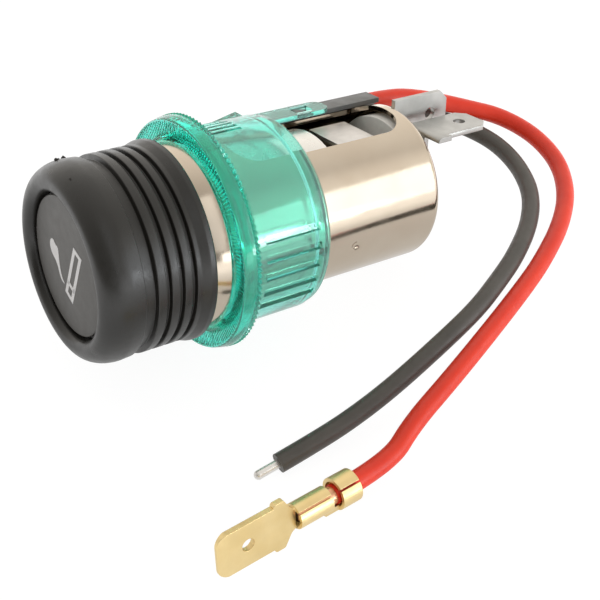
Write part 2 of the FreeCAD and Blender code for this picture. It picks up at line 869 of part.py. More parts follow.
black_points = [
    black_exit,
    black_exit + lead_out * lead_straight,
    at(-12.0, 47.4, 11.5),
    at(-9.5, 52.4, 9.9),
    at(-4.9, 56.4, 8.2),
    at(-0.8, 57.8, 7.2),
    at(4.0, 57.7, 6.0),
    at(9.1, 55.7, 4.9),
    at(13.5, 51.5, 3.8),
    at(16.9, 45.7, 2.7),
    at(19.0, 40.9, 2.0),
    at(21.3, 35.0, wire_height),
    at(23.7, 27.2, wire_height),
    at(26.5, 16.7, wire_height),
    at(27.9, 9.8, wire_height),
    at(28.8, 3.2, wire_height),
    at(29.15, -4.1, wire_height),
]


def black_core():
    """Tinned end of the black lead, with a rounded tip."""
    direction = black_points[-1] - black_points[-2]
    direction.normalize()
    radius = core_diameter / 2
    straight = core_length - radius
    core = Part.makeCylinder(radius, straight, black_points[-1], direction)
    tip = Part.makeSphere(radius, black_points[-1] + direction * straight)
    return core.fuse(tip).removeSplitter()


def on_tab(shape):
    """A copy of a piece of the tab, drawn along X about the axis of its crimps, laid where the tab lies."""
    copy = shape.copy()
    copy.Placement = tab_place.multiply(copy.Placement)
    return copy


def tab_rod(diameter, start, end):
    """A round bar along the tab's crimps."""
    return Part.makeCylinder(diameter / 2, end - start, at(start, 0, 0), at(1, 0, 0))


def red_core():
    """Bare strands of the red lead inside the conductor crimp."""
    bore = conductor_crimp_diameter - 2 * crimp_wall
    return on_tab(tab_rod(bore, insulation_crimp_front + strip_gap, conductor_crimp_front - strip_gap))


def tab_blade():
    """Flat of the tab: a neck, two ears, a blade with a hole, and a tip thinned on both faces."""
    half = tab_width / 2
    half_ear = tab_ear_width / 2
    half_neck = neck_width / 2
    half_thickness = tab_thickness / 2
    neck_front = conductor_crimp_front + neck_length
    side = [
        (conductor_crimp_front - neck_overlap, -half_neck),
        (neck_front, -half_neck),
        (tab_ear_rear, -half_ear),
        (tab_ear_front, -half_ear),
        (tab_ear_front, -half),
        (tab_length, -half),
    ]
    outline = side + [(x, -y) for x, y in reversed(side)]
    flat = prism([at(x, y, -half_thickness) for x, y in outline], at(0, 0, tab_thickness))
    rounded = [(neck_front, half_neck, neck_radius), (tab_ear_rear, half_ear, tab_ear_radius),
               (tab_ear_front, half_ear, tab_ear_radius), (tab_length, half, tab_tip_radius)]
    for x, y, radius in rounded:
        corners = [edge for edge in flat.Edges if edge.BoundBox.ZLength > half_thickness
                   and abs(edge.BoundBox.XMin - x) < edge_match
                   and abs(abs(edge.BoundBox.YMin) - y) < edge_match]
        flat = flat.makeFillet(radius, corners)
    coin_start = tab_length - tab_coin_length
    coins = []
    for face in [half_thickness, -half_thickness]:
        depth = math.copysign(tab_coin_depth, face)
        coins.append(prism([
            at(coin_start, -half, face),
            at(tab_length, -half, face),
            at(tab_length, -half, face - depth),
        ], at(0, tab_width, 0)))
    hole = Part.makeCylinder(tab_hole_diameter / 2, tab_thickness, at(tab_hole_station, 0, -half_thickness))
    flat = flat.cut(coins + [hole])
    flat.rotate(origin, at(1, 0, 0), tab_roll)
    return flat


def tab_terminal():
    """Brass tab stamped and rolled in one piece: the blade, and two crimped barrels joined by a bridge."""
    bore = conductor_crimp_diameter - 2 * crimp_wall
    barrels = []
    for diameter, start, end in [
        (conductor_crimp_diameter, conductor_crimp_rear, conductor_crimp_front),
        (insulation_crimp_diameter, 0.0, insulation_crimp_front),
    ]:
        seam = Part.makeBox(end - start, crimp_seam, diameter, at(start, -crimp_seam / 2, 0))
        seam.rotate(origin, at(1, 0, 0), crimp_seam_turn)
        hollow = tab_rod(diameter - 2 * crimp_wall, start, end)
        barrels.append(tab_rod(diameter, start, end).cut([hollow, seam]))
    bridge_start = insulation_crimp_front - crimp_bridge_overlap
    bridge_end = conductor_crimp_rear + crimp_bridge_overlap
    half_bridge = crimp_bridge_width / 2
    keep = Part.makeBox(bridge_end - bridge_start, crimp_bridge_width, insulation_crimp_diameter,
                        at(bridge_start, -half_bridge, -insulation_crimp_diameter))
    bridge = tab_rod(insulation_crimp_diameter, bridge_start, bridge_end).common(keep)
    inner = conductor_crimp_diameter - crimp_wall
    bridge = bridge.cut(tab_rod(inner, bridge_start, bridge_end))
    inside = tab_rod(bore, 0.0, conductor_crimp_front)
    piece = tab_blade().cut(inside).fuse(barrels + [bridge]).removeSplitter()
    return on_tab(piece)


pieces = {
    "socket_shell": laid(socket_shell()),
    "light_ring": laid(light_ring()),
    "lamp_holder": laid(lamp_holder()),
    "lamp_bulb": laid(lamp_bulb()),
    "lamp_leads": laid(lamp_leads(lead_diameter)),
    "inner_insulator": laid(inner_insulator()),
    "outer_insulator": laid(outer_insulator()),
    "bimetal_clip": laid(bimetal_clip()),
    "contact_stud": laid(contact_stud()),
    "stud_nut": laid(stud_nut()),
    "live_blade": laid(live_blade()),
    "earth_blade": laid(earth_blade()),
    "plug_sleeve": laid(plug_sleeve()),
    "return_spring": laid(return_spring()),
    "knob": laid(knob()),
    "face_disc": laid(face_disc()),
    "stem": laid(stem()),
    "element_cup": laid(element_cup()),
    "element_ceramic": laid(element_ceramic()),
    "heating_coil": laid(heating_coil()),
    "red_wire": lead_tube(red_points, "red_wire"),
    "black_wire": lead_tube(black_points, "black_wire"),
    "red_wire_core": red_core(),
    "black_wire_core": black_core(),
    "tab_terminal": tab_terminal(),
}

# The origin moves to the middle of the part's length, on the floor
front = pieces["knob"].optimalBoundingBox(False).YMin
rear = pieces["live_blade"].optimalBoundingBox(False).YMax
to_middle = at(0, -(front + rear) / 2, 0)
print("tilt", round(math.degrees(tilt), 3), "axis height", round(axis_height, 3))
print("shift", round(to_middle.y, 4))

os.makedirs("parts", exist_ok=True)
for name, shape in pieces.items():
    shape.translate(to_middle)
    if not shape.isValid():
        print("not valid:", name)
    shape.exportStep("parts/" + name + ".step")
    box = shape.optimalBoundingBox(False)
    print(name, len(shape.Solids), round(shape.Volume, 1), [round(v, 2) for v in
          (box.XMin, box.XMax, box.YMin, box.YMax, box.ZMin, box.ZMax)])
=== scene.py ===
import json
import math
import bmesh
import bpy
import numpy as np
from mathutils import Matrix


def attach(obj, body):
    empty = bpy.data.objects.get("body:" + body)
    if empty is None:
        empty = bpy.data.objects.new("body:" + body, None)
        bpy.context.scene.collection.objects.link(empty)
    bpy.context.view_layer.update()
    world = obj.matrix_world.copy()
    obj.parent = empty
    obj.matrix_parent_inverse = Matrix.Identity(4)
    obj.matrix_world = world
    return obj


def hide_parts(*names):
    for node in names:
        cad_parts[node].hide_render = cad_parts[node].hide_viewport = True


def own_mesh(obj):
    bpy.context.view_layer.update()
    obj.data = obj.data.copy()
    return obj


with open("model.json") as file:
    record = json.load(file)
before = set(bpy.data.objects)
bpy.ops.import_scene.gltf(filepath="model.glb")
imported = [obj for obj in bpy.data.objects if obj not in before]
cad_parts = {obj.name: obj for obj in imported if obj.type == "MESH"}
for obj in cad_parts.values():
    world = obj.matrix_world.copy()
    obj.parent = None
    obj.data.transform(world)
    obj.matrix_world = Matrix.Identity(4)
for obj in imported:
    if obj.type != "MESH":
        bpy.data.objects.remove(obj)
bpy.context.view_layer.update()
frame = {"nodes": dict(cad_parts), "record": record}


# Camera. It looks down on the lighter from beside its knob, with the terminals away to the right.
camera_azimuth = 55.9995
camera_elevation = 42.6304
camera_lens = bpy.data.cameras.new("camera")
camera_lens.sensor_width = 36.0
camera_lens.lens = 69.3605
camera = bpy.data.objects.new("camera", camera_lens)
camera.location = (0.1068454, -0.0676173, 0.1135472)
camera.rotation_euler = (math.radians(90 - camera_elevation), 0, math.radians(camera_azimuth))
bpy.context.scene.collection.objects.link(camera)
bpy.context.scene.camera = camera
bpy.context.scene.view_settings.view_transform = "Standard"


# Floor and light. A white sweep under a warm room, dimmer on the camera's side. A large cool window low
# on the right draws the broad bright band along the metal. Its fill shows in no reflection, its core is the
# glint on the flange, and a tall and a low white card light the collar.
floor_half = 3.0
floor_white = 1.10
shadow_share = 0.16
# Painted shade near the lighter and painted light further out, in the floor's glow as mirrors see it.
painted_floor_shade, painted_floor_light = 0.82, 1.7
near_reach, far_reach = 0.03, 0.12
room_light, dim_light = 1.25, 0.26
bright_side, dim_side = -0.9, 0.85
wall_glow = 0.45
glow_edge, glow_core = 0.72, 0.94
lamp_distance = 0.8
window_size = (0.60, 0.44)
window_bearing, window_elevation = 125.5, 15.0


def feed(tree, socket, value):
    """Sets a socket to a value, or links it to another node's output."""
    if isinstance(value, bpy.types.NodeSocket):
        tree.links.new(value, socket)
    else:
        socket.default_value = value


def mix_in(tree, kind, **inputs):
    """A new node of a kind, with the named inputs set or linked."""
    node = tree.nodes.new(kind)
    for name, value in inputs.items():
        feed(tree, node.inputs[name], value)
    return node


def chosen(tree, share, low, high):
    """A value between two others by its share: low + share (high - low)."""
    node = tree.nodes.new("ShaderNodeMix")
    for index, value in [(0, share), (2, low), (3, high)]:
        feed(tree, node.inputs[index], value)
    return node.outputs[0]


def ranged(tree, source, low, high, start=0.3, end=0.7, blend="LINEAR"):
    """A value carried from one range to another and held at both ends."""
    node = tree.nodes.new("ShaderNodeMapRange")
    node.interpolation_type = blend
    ends = [("From Min", start), ("From Max", end), ("To Min", low), ("To Max", high)]
    for name, value in [("Value", source), *ends]:
        feed(tree, node.inputs[name], value)
    return node.outputs[0]


def along(tree, source, direction):
    """How far a point or a direction reaches along another one: their dot product."""
    node = tree.nodes.new("ShaderNodeVectorMath")
    node.operation = "DOT_PRODUCT"
    tree.links.new(source, node.inputs[0])
    node.inputs[1].default_value = direction
    return node.outputs["Value"]


def pointing(bearing, elevation):
    """The direction at a bearing b and a height h in degrees: (sin b cos h, -cos b cos h, sin h)."""
    turn, rise = math.radians(bearing), math.radians(elevation)
    return np.array([math.sin(turn) * math.cos(rise), -math.cos(turn) * math.cos(rise), math.sin(rise)])


def white_floor():
    """White paper. Seen directly it is nearly all its own white, with a faint shadow. Mirrors see painted
    shade close to the lighter and painted light further out, in place of its shadow and the window's light."""
    material = bpy.data.materials.new("white_floor")
    material.use_nodes = True
    tree = material.node_tree
    tree.nodes.remove(tree.nodes["Principled BSDF"])
    path = tree.nodes.new("ShaderNodeLightPath")
    place = tree.nodes.new("ShaderNodeTexCoord")
    reach = tree.nodes.new("ShaderNodeVectorMath")
    reach.operation = "LENGTH"
    tree.links.new(place.outputs["Object"], reach.inputs[0])
    # Painted shade and painted light for mirrors: the glow is dimmer close to the lighter and brighter
    # further out.
    shade = ranged(tree, reach.outputs["Value"], painted_floor_shade, painted_floor_light, near_reach, far_reach, "SMOOTHSTEP")
    strength = chosen(tree, path.outputs["Is Glossy Ray"], floor_white, shade)
    paper = mix_in(tree, "ShaderNodeBsdfDiffuse", Color=(0.9, 0.9, 0.9, 1))
    glow = mix_in(tree, "ShaderNodeEmission", Color=(1, 1, 1, 1), Strength=strength)
    spread = chosen(tree, path.outputs["Is Diffuse Ray"], 1 - shadow_share, 0.0)
    both = tree.nodes.new("ShaderNodeMixShader")
    tree.links.new(spread, both.inputs[0])
    tree.links.new(paper.outputs[0], both.inputs[1])
    tree.links.new(glow.outputs[0], both.inputs[2])
    tree.links.new(both.outputs[0], tree.nodes["Material Output"].inputs["Surface"])
    return material


floor_corners = floor_half * np.array([(-1, -1, 0), (1, -1, 0), (1, 1, 0), (-1, 1, 0)])
floor_mesh = bpy.data.meshes.new("floor")
floor_mesh.from_pydata(floor_corners, [], [(0, 1, 2, 3)])
floor_mesh.materials.append(white_floor())
floor = bpy.data.objects.new("floor", floor_mesh)
bpy.context.scene.collection.objects.link(floor)

world = bpy.data.worlds.new("room")
world.use_nodes = True
bpy.context.scene.world = world
room = world.node_tree
sight = room.nodes.new("ShaderNodeTexCoord").outputs["Generated"]
towards_camera = along(room, sight, pointing(camera_azimuth, 0))
towards_window = along(room, sight, pointing(window_bearing, window_elevation))
falloff = ranged(room, towards_camera, room_light, dim_light, bright_side, dim_side)
lit_wall = ranged(room, towards_window, 0.0, wall_glow, glow_edge, glow_core, "SMOOTHSTEP")
both_lights = room.nodes.new("ShaderNodeMath")
room.links.new(falloff, both_lights.inputs[0])
room.links.new(lit_wall, both_lights.inputs[1])
whole = room.nodes["Background"]
whole.inputs["Color"].default_value = (1.0, 0.96, 0.90, 1)
room.links.new(both_lights.outputs[0], whole.inputs["Strength"])
backdrop = mix_in(room, "ShaderNodeBackground", Color=(1, 1, 1, 1), Strength=1.0)
seen = room.nodes.new("ShaderNodeLightPath")
shown = room.nodes.new("ShaderNodeMixShader")
room.links.new(seen.outputs["Is Camera Ray"], shown.inputs[0])
room.links.new(whole.outputs[0], shown.inputs[1])
room.links.new(backdrop.outputs[0], shown.inputs[2])
room.links.new(shown.outputs[0], room.nodes["World Output"].inputs["Surface"])


def shining(name, size, bearing, elevation, power, colour, mirrored=True):
    """A flat lamp at a bearing and a height, facing the lighter, which mirrors show or not."""
    lamp = bpy.data.lights.new(name, "AREA")
    lamp.shape = "RECTANGLE"
    lamp.size, lamp.size_y = size
    lamp.energy = power
    lamp.color = colour
    place = bpy.data.objects.new(name, lamp)
    place.location = pointing(bearing, elevation) * lamp_distance
    place.rotation_euler = (math.radians(90 - elevation), 0, math.radians(bearing))
    place.visible_glossy = mirrored
    place.visible_transmission = mirrored
    bpy.context.scene.collection.objects.link(place)


shining("window", size=window_size, bearing=window_bearing, elevation=window_elevation, power=1.15,
        colour=(0.86, 0.93, 1.0))
shining("window_fill", size=window_size, bearing=window_bearing, elevation=window_elevation, power=2.15,
        colour=(0.76, 0.87, 1.0), mirrored=False)
shining("window_core", size=(0.12, 0.09), bearing=118.5, elevation=4.0, power=0.45, colour=(0.90, 0.95, 1.0))
shining("tall_card", size=(0.18, 1.0), bearing=81.0, elevation=44.0, power=0.42, colour=(0.95, 0.97, 1.0))
shining("white_card", size=(0.32, 0.13), bearing=92.0, elevation=5.0, power=0.35, colour=(0.95, 0.97, 1.0))


# Lamp leads. Two soft copper leads in red and black plastic sheaths come out of the lamp holder's rear face,
# bend round behind the blades and come down to the floor, the red one at its brass tab, the black one at its
# bare end.
panel_hole = next(mount for mount in frame["record"]["mounts"] if mount["name"] == "panel_hole")
inward = np.array(panel_hole["axis"])
hole_station = 8.0
ring_face = 1000 * np.array(panel_hole["pos_m"]) - inward * hole_station
roll = math.radians(-11)
upright = np.array([0, -inward[2], inward[1]])
level = np.array([1.0, 0.0, 0.0])
to_window = math.cos(roll) * upright + math.sin(roll) * level
to_side = math.cos(roll) * level - math.sin(roll) * upright


def laid(x, s, n):
    """Points of the lighter's own frame, in millimetres, as they lie on the floor, in metres: its three
    axes weighted and added. Station s runs back from the ring's front face along the socket's axis, n points
    to the barrel's window and x to its right-hand side."""
    x, s, n = np.broadcast_arrays(x, s, n)
    return (ring_face + x[..., None] * to_side + s[..., None] * inward + n[..., None] * to_window) / 1000


middle_shift = -14.3651
lead_diameter = 2.6
lead_straight = 6.0
wire_height = 1.35
holder_end = 36.5
red_exit = 1000 * laid(-9.6, holder_end, 8.6)
black_exit = 1000 * laid(-12.2, holder_end, 5.2)
tab_turn, tab_pitch = math.radians(-86.2), math.radians(5)
tab_axis = np.array([math.cos(tab_turn) * math.cos(tab_pitch), math.sin(tab_turn) * math.cos(tab_pitch),
                     math.sin(tab_pitch)])
tab_rear = np.array([37.74, 0.93 + middle_shift, 2.78])
strip_end = 3.1


def over_floor(places):
    """A lead's points, given from the ring's front face, moved along y into the shared frame."""
    return np.array(places) + (0, middle_shift, 0)


red_route = np.vstack([
    red_exit,
    red_exit + inward * lead_straight,
    over_floor([
        (-10.1, 47.4, 15.2), (-8.4, 51.2, 13.9), (-5.8, 55.0, 12.7), (-3.2, 58.4, 11.7), (1.1, 60.4, 10.8),
        (5.7, 60.7, 10.1), (10.6, 59.4, 9.5), (15.7, 55.9, 8.9), (20.0, 50.7, 8.4), (23.5, 44.5, 8.0),
        (25.7, 39.7, 7.5), (29.7, 29.5, 6.9), (33.0, 19.7, 5.6), (35.1, 12.1, 4.1),
    ]),
    tab_rear - tab_axis * lead_straight,
    tab_rear + tab_axis * strip_end,
])
black_route = np.vstack([
    black_exit,
    black_exit + inward * lead_straight,
    over_floor([
        (-11.7, 47.1, 11.8), (-8.5, 51.5, 10.8), (-3.0, 54.5, 10.0), (1.6, 55.3, 9.6), (7.2, 54.3, 9.3),
        (12.9, 51.5, 9.1), (17.8, 46.6, 8.9), (21.8, 40.3, 8.7), (24.0, 35.5, 8.4), (26.3, 29.8, 7.9),
        (27.7, 23.3, 6.8), (28.8, 14.7, 4.6), (29.2, 8.8, 3.2), (29.3, 2.8, 2.1), (29.15, -4.1, wire_height),
    ]),
])


def grain(tree, scale, detail=3.0, stretch=(1, 1, 1)):
    """Cloudy noise on the object's own coordinates: so many clouds a metre, drawn out by stretch."""
    place = tree.nodes.new("ShaderNodeTexCoord")
    mapping = mix_in(tree, "ShaderNodeMapping", Vector=place.outputs["Object"], Scale=stretch)
    noise = mix_in(tree, "ShaderNodeTexNoise", Vector=mapping.outputs[0], Scale=scale, Detail=detail)
    return noise.outputs["Fac"]


def tinted(tree, source, low, high, start=0.3, end=0.7):
    """Two colours blended by a value."""
    ramp = tree.nodes.new("ShaderNodeValToRGB")
    ramp.color_ramp.elements[0].position = start
    ramp.color_ramp.elements[1].position = end
    ramp.color_ramp.elements[0].color = (*low, 1)
    ramp.color_ramp.elements[1].color = (*high, 1)
    tree.links.new(source, ramp.inputs[0])
    return ramp.outputs[0]


def relief(tree, height, depth, before=None):
    """A bump of so many metres from a height, laid over an earlier one."""
    bump = mix_in(tree, "ShaderNodeBump", Height=height, Distance=depth, Strength=1.0)
    if before is not None:
        tree.links.new(before, bump.inputs["Normal"])
    return bump.outputs[0]


def finish(name):
    """A new material with its tree and its shader."""
    material = bpy.data.materials.new(name)
    material.use_nodes = True
    return material, material.node_tree, material.node_tree.nodes["Principled BSDF"]


def sheath(name, dark, pale):
    """Soft drawn plastic: a satin skin with faint clouds, rubbed patches and a fine drawn grain."""
    material, tree, skin = finish(name)
    tree.links.new(tinted(tree, grain(tree, 260), dark, pale), skin.inputs["Base Color"])
    tree.links.new(ranged(tree, grain(tree, 900), 0.34, 0.5), skin.inputs["Roughness"])
    fine = relief(tree, grain(tree, 5200, 2.0), 0.000012)
    tree.links.new(relief(tree, grain(tree, 420), 0.00005, fine), skin.inputs["Normal"])
    skin.inputs["Specular IOR Level"].default_value = 0.5
    return material


def lead(name, route, material, node):
    """A lead's sheath: a round section carried along a smooth spline whose control points are the route."""
    curve = bpy.data.curves.new(name, "CURVE")
    curve.dimensions = "3D"
    spline = curve.splines.new("NURBS")
    spline.points.add(len(route) - 1)
    weighted = np.column_stack([route / 1000, np.ones(len(route))])
    spline.points.foreach_set("co", weighted.ravel())
    spline.order_u = 3
    spline.use_endpoint_u = True
    spline.resolution_u = 12
    curve.bevel_depth = lead_diameter / 2000
    curve.bevel_resolution = 8
    curve.use_fill_caps = True
    curve.materials.append(material)
    piece = bpy.data.objects.new(name, curve)
    bpy.context.scene.collection.objects.link(piece)
    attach(piece, "socket")
    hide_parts(node)
    return piece


red_sheath = sheath("red_sheath", (0.72, 0.028, 0.007), (0.80, 0.038, 0.010))
black_sheath = sheath("black_sheath", (0.066, 0.060, 0.052), (0.084, 0.076, 0.066))
red_lead = lead("red_lead", red_route, red_sheath, "red_wire")
black_lead = lead("black_lead", black_route, black_sheath, "black_wire")


# Socket barrel. A cup drawn from thin steel and nickel plated: a rolled collar in front, a long window in
# its wall, a round punch mark, a rounded rear edge and a pierced base. It carries everything else.
shell_radius = 11.25
shell_wall = 0.6
shell_bore = shell_radius - shell_wall
shell_end = 35.5
edge_radius = 1.2
collar_radius, collar_front = 12.8, 11.9
collar_length = 2.5
window_front, window_end = 6.0, 33.3
window_half = 5.2
window_corner = 3.4
wall_front = 1.6
wall_end = shell_end - edge_radius
wall_columns = 240
patch_columns = 80
wall_rows = 100
patch_rows = 26
base_hole = 3.5
dent_station, dent_angle = 20.8, 104.0
dent_reach, dent_depth = 0.85, 0.4


def outline(corners, steps=6):
    """Corners (radius, station, ease), each rounded by its ease: a circle's arc as a rational curve."""
    corners = np.array(corners, float)
    place, ease = corners[:, :2], corners[:, 2]
    back = np.roll(place, 1, 0) - place
    ahead = np.roll(place, -1, 0) - place
    back_run = np.linalg.norm(back, axis=1)
    ahead_run = np.linalg.norm(ahead, axis=1)
    back = back / np.maximum(back_run, 1e-9)[:, None]
    ahead = ahead / np.maximum(ahead_run, 1e-9)[:, None]
    half = np.arccos(np.clip((back * ahead).sum(1), -1, 1)) / 2
    wanted = ease / np.maximum(np.tan(half), 1e-6)
    back_share = wanted / np.maximum(wanted + np.roll(wanted, 1), 1e-9)
    ahead_share = wanted / np.maximum(wanted + np.roll(wanted, -1), 1e-9)
    setback = np.minimum(wanted, np.minimum(back_run * back_share, ahead_run * ahead_share))
    setback = setback[:, None, None]
    share = np.linspace(0, 1, steps + 1)[None, :, None]
    weight = np.sin(half)[:, None, None]
    enter = place[:, None] + back[:, None] * setback
    leave = place[:, None] + ahead[:, None] * setback
    first, middle, last = (1 - share) ** 2, 2 * weight * share * (1 - share), share ** 2
    arcs = (first * enter + middle * place[:, None] + last * leave) / (first + middle + last)
    points = arcs.reshape(-1, 2)
    keep = np.linalg.norm(np.diff(points, axis=0, prepend=points[:1] - 1), axis=1) > 1e-6
    return points[keep]


def closed(points):
    """A loop of points with its first point repeated at the end."""
    return np.vstack([points, points[:1]])


def turned(profile, columns=180):
    """An outline of radius and station carried round the axis: x = r sin a, n = r cos a."""
    angle = np.radians(np.linspace(0, 360, columns + 1))
    radius, station = profile.T
    return laid(radius[:, None] * np.sin(angle), station[:, None], radius[:, None] * np.cos(angle))


def stepped(line):
    """The length run along a line of points up to each of them."""
    return np.concatenate([[0], np.cumsum(np.linalg.norm(np.diff(line, axis=0), axis=1))])


def window_loop(side_counts):
    """The window's outline (x, s), a rounded rectangle, with each side in so many even steps of length."""
    right, left = window_half - window_corner, window_corner - window_half
    front, rear = window_front + window_corner, window_end - window_corner
    turns = np.radians(np.linspace(-90, 0, 9))
    arc = np.column_stack([np.cos(turns), np.sin(turns)]) * window_corner
    quarter = np.array([[0, -1], [1, 0]])
    corners = []
    for centre in [(right, front), (right, rear), (left, rear), (left, front)]:
        corners.append(np.array(centre) + arc)
        arc = arc @ quarter.T
    sides = []
    for index, count in enumerate(side_counts):
        before, after = corners[index - 1], corners[index]
        side = np.vstack([before[len(before) // 2:], after[:len(after) // 2 + 1]])
        run = stepped(side)
        even = np.linspace(0, run[-1], count + 1)
        sides.append(np.column_stack([np.interp(even, run, column) for column in side.T])[:-1])
    return closed(np.vstack(sides))


def wall_grids(radius, dent=0.0):
    """The barrel's wall at a radius. The plain part behind is sunk at its punch mark, by
    depth (1 - distance^2 / reach^2). Round the window each grid line runs from a point of the window's
    outline to a point of the patch's border."""
    stations = np.linspace(wall_front, wall_end, wall_rows + 1)
    border = 180.0 * patch_columns / wall_columns
    behind = np.radians(np.linspace(border, 360 - border, wall_columns - patch_columns + 1))
    away = (radius * (behind - math.radians(dent_angle))) ** 2 + (stations[:, None] - dent_station) ** 2
    sunk = radius - dent * np.clip(1 - away / dent_reach ** 2, 0, 1)
    plain = laid(sunk * np.sin(behind), stations[:, None], sunk * np.cos(behind))
    across = np.radians(np.linspace(-border, border, patch_columns + 1))
    rim = np.vstack([
        np.column_stack([across, np.full_like(across, wall_front)])[:-1],
        np.column_stack([np.full_like(stations, across[-1]), stations])[:-1],
        np.column_stack([across[::-1], np.full_like(across, wall_end)])[:-1],
        np.column_stack([np.full_like(stations, across[0]), stations[::-1]]),
    ])
    hole = window_loop([patch_columns, wall_rows, patch_columns, wall_rows])
    edge = np.column_stack([np.arcsin(hole[:, 0] / radius), hole[:, 1]])
    share = np.linspace(0, 1, patch_rows + 1)[:, None, None]
    sheet = edge + (rim - edge) * share
    patch = laid(radius * np.sin(sheet[..., 0]), sheet[..., 1], radius * np.cos(sheet[..., 0]))
    return plain, patch


def shown_piece(name, mesh, material, body, nodes):
    """A mesh as a piece of the lighter: its finish, the body it moves with and the solids it stands for."""
    mesh.materials.clear()
    mesh.materials.append(material)
    piece = bpy.data.objects.new(name, mesh)
    bpy.context.scene.collection.objects.link(piece)
    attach(piece, body)
    if nodes:
        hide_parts(*nodes)
    return piece


def piece_of(name, grids, material, body, nodes, sharp=35.0):
    """Grids of points as one closed mesh: each cell a face, shared points merged, faces turned outwards."""
    places, faces, count = [], [], 0
    for grid in grids:
        rows, columns = grid.shape[:2]
        index = count + np.arange(rows * columns).reshape(rows, columns)
        cells = np.stack([index[:-1, :-1], index[1:, :-1], index[1:, 1:], index[:-1, 1:]], -1)
        places.append(grid.reshape(-1, 3))
        faces.append(cells.reshape(-1, 4))
        count += rows * columns
    mesh = bpy.data.meshes.new(name)
    mesh.from_pydata(np.vstack(places), [], np.vstack(faces))
    work = bmesh.new()
    work.from_mesh(mesh)
    bmesh.ops.remove_doubles(work, verts=work.verts, dist=1e-6)
    bmesh.ops.recalc_face_normals(work, faces=work.faces)
    work.to_mesh(mesh)
    work.free()
    mesh.shade_smooth()
    mesh.set_sharp_from_angle(angle=math.radians(sharp))
    return shown_piece(name, mesh, material, body, nodes)


def nickel_plate():
    """Bright nickel over drawn steel: a warm mirror, hazed in clouds, with faint drawing marks."""
    material, tree, plate = finish("nickel_plate")
    warm_tone = tinted(tree, grain(tree, 120), (0.57, 0.485, 0.385), (0.62, 0.54, 0.44))
    tree.links.new(warm_tone, plate.inputs["Base Color"])
    plate.inputs["Metallic"].default_value = 1.0
    tree.links.new(ranged(tree, grain(tree, 300, 5.0), 0.10, 0.17), plate.inputs["Roughness"])
    marks = relief(tree, grain(tree, 1400, 4.0), 0.000004)
    tree.links.new(relief(tree, grain(tree, 160), 0.00002, marks), plate.inputs["Normal"])
    return material


collar_outline = outline([
    (shell_radius, wall_front, 0), (shell_radius, 0, 0.35), (collar_radius, 0, 0.15),
    (collar_front, -collar_length, 0.5), (collar_front - shell_wall, -collar_length, shell_wall / 2),
    (collar_front - shell_wall, -shell_wall, 0.2), (shell_bore, -shell_wall, 0.2),
    (shell_bore, wall_front, 0),
])
base_outline = outline([
    (shell_bore, wall_end, 0), (shell_bore, shell_end - shell_wall, edge_radius - shell_wall),
    (base_hole, shell_end - shell_wall, 0.1), (base_hole, shell_end, 0.1),
    (shell_radius, shell_end, edge_radius), (shell_radius, wall_end, 0),
], steps=10)
outer_plain, outer_patch = wall_grids(shell_radius, dent_depth)
inner_plain, inner_patch = wall_grids(shell_bore)
window_rim = np.stack([outer_patch[0], inner_patch[0]])
barrel_grids = [
    turned(collar_outline), turned(base_outline),
    outer_plain, outer_patch, inner_plain, inner_patch, window_rim,
]
nickel = nickel_plate()
piece_of("barrel", barrel_grids, nickel, "socket", ["socket_shell"])


# Light ring. One translucent green moulding clipped over the barrel behind its collar: a ribbed and toothed
# flange that meets the panel, a fluted tube with a wedge, and a slotted arm by the window that catches on
# the lamp holder.
ring_bore, tube_bore, ring_radius, rim_radius = 11.35, 12.2, 13.6, 13.35
ring_columns = 1080
ring_length, rear_seat, rear_chamfer = 15.1, 13.5, 0.7
bore_slope = tube_bore - ring_bore
rim_step_front, rim_step_end = rear_seat - 0.15, rear_seat + 0.1
flange_front, flange_radius, flange_rear = 15.5, 15.8, 2.4
teeth, tooth_rise, tooth_cut, tooth_front, tooth_ease = 120, 0.1, 0.4, 1.7, 0.12
ribs, rib_inner, rib_outer, rib_depth = 180, 13.3, 15.2, 0.18
flute_front, flute_end, flute_width, flute_depth = 4.6, 13.0, 1.1, 0.5
fine_end, fine_width, fine_depth = 8.8, 0.5, 0.25
flute_angles = 76 + 11 * np.arange(5)
fine_angles = 5 * np.arange(9) - 36
cut_step = 0.03
arm_left, arm_right, arm_end, arm_tip, arm_low, arm_top = -7.2, -3.6, 26.7, 1.4, 10.95, 11.55
slot_left, slot_right, slot_front, slot_end, slot_corner = -6.4, -4.4, 21.3, 24.1, 0.2
wedge_left, wedge_right, wedge_front, wedge_end = -8.7, -5.9, 9.4, 14.0
wedge_base, wedge_peak = 10.35, 11.9
deep_green, pale_green = (0.30, 0.94, 0.83), (0.60, 0.96, 0.88)
pale_from, pale_to = flange_rear - 0.3, flange_rear + 1.2


def green_moulding():
    """Clear green plastic: deeper in the thick flange than in the thin tube, a smooth skin with flow clouds,
    and a body that takes the red out of light with depth."""
    material, tree, resin = finish("green_moulding")
    place = tree.nodes.new("ShaderNodeTexCoord")
    reach = along(tree, place.outputs["Object"], inward)
    face = float(ring_face @ inward)
    on_tube = ranged(tree, reach, 0.0, 1.0, (face + pale_from) / 1000, (face + pale_to) / 1000)
    tree.links.new(tinted(tree, on_tube, deep_green, pale_green, 0.0, 1.0), resin.inputs["Base Color"])
    resin.inputs["Transmission Weight"].default_value = 0.90
    resin.inputs["IOR"].default_value = 1.45
    tree.links.new(ranged(tree, grain(tree, 240), 0.05, 0.10), resin.inputs["Roughness"])
    tree.links.new(relief(tree, grain(tree, 180), 0.00005), resin.inputs["Normal"])
    depth = mix_in(tree, "ShaderNodeVolumeAbsorption", Color=(0.03, 0.97, 0.91, 1), Density=270.0)
    tree.links.new(depth.outputs[0], tree.nodes["Material Output"].inputs["Volume"])
    return material


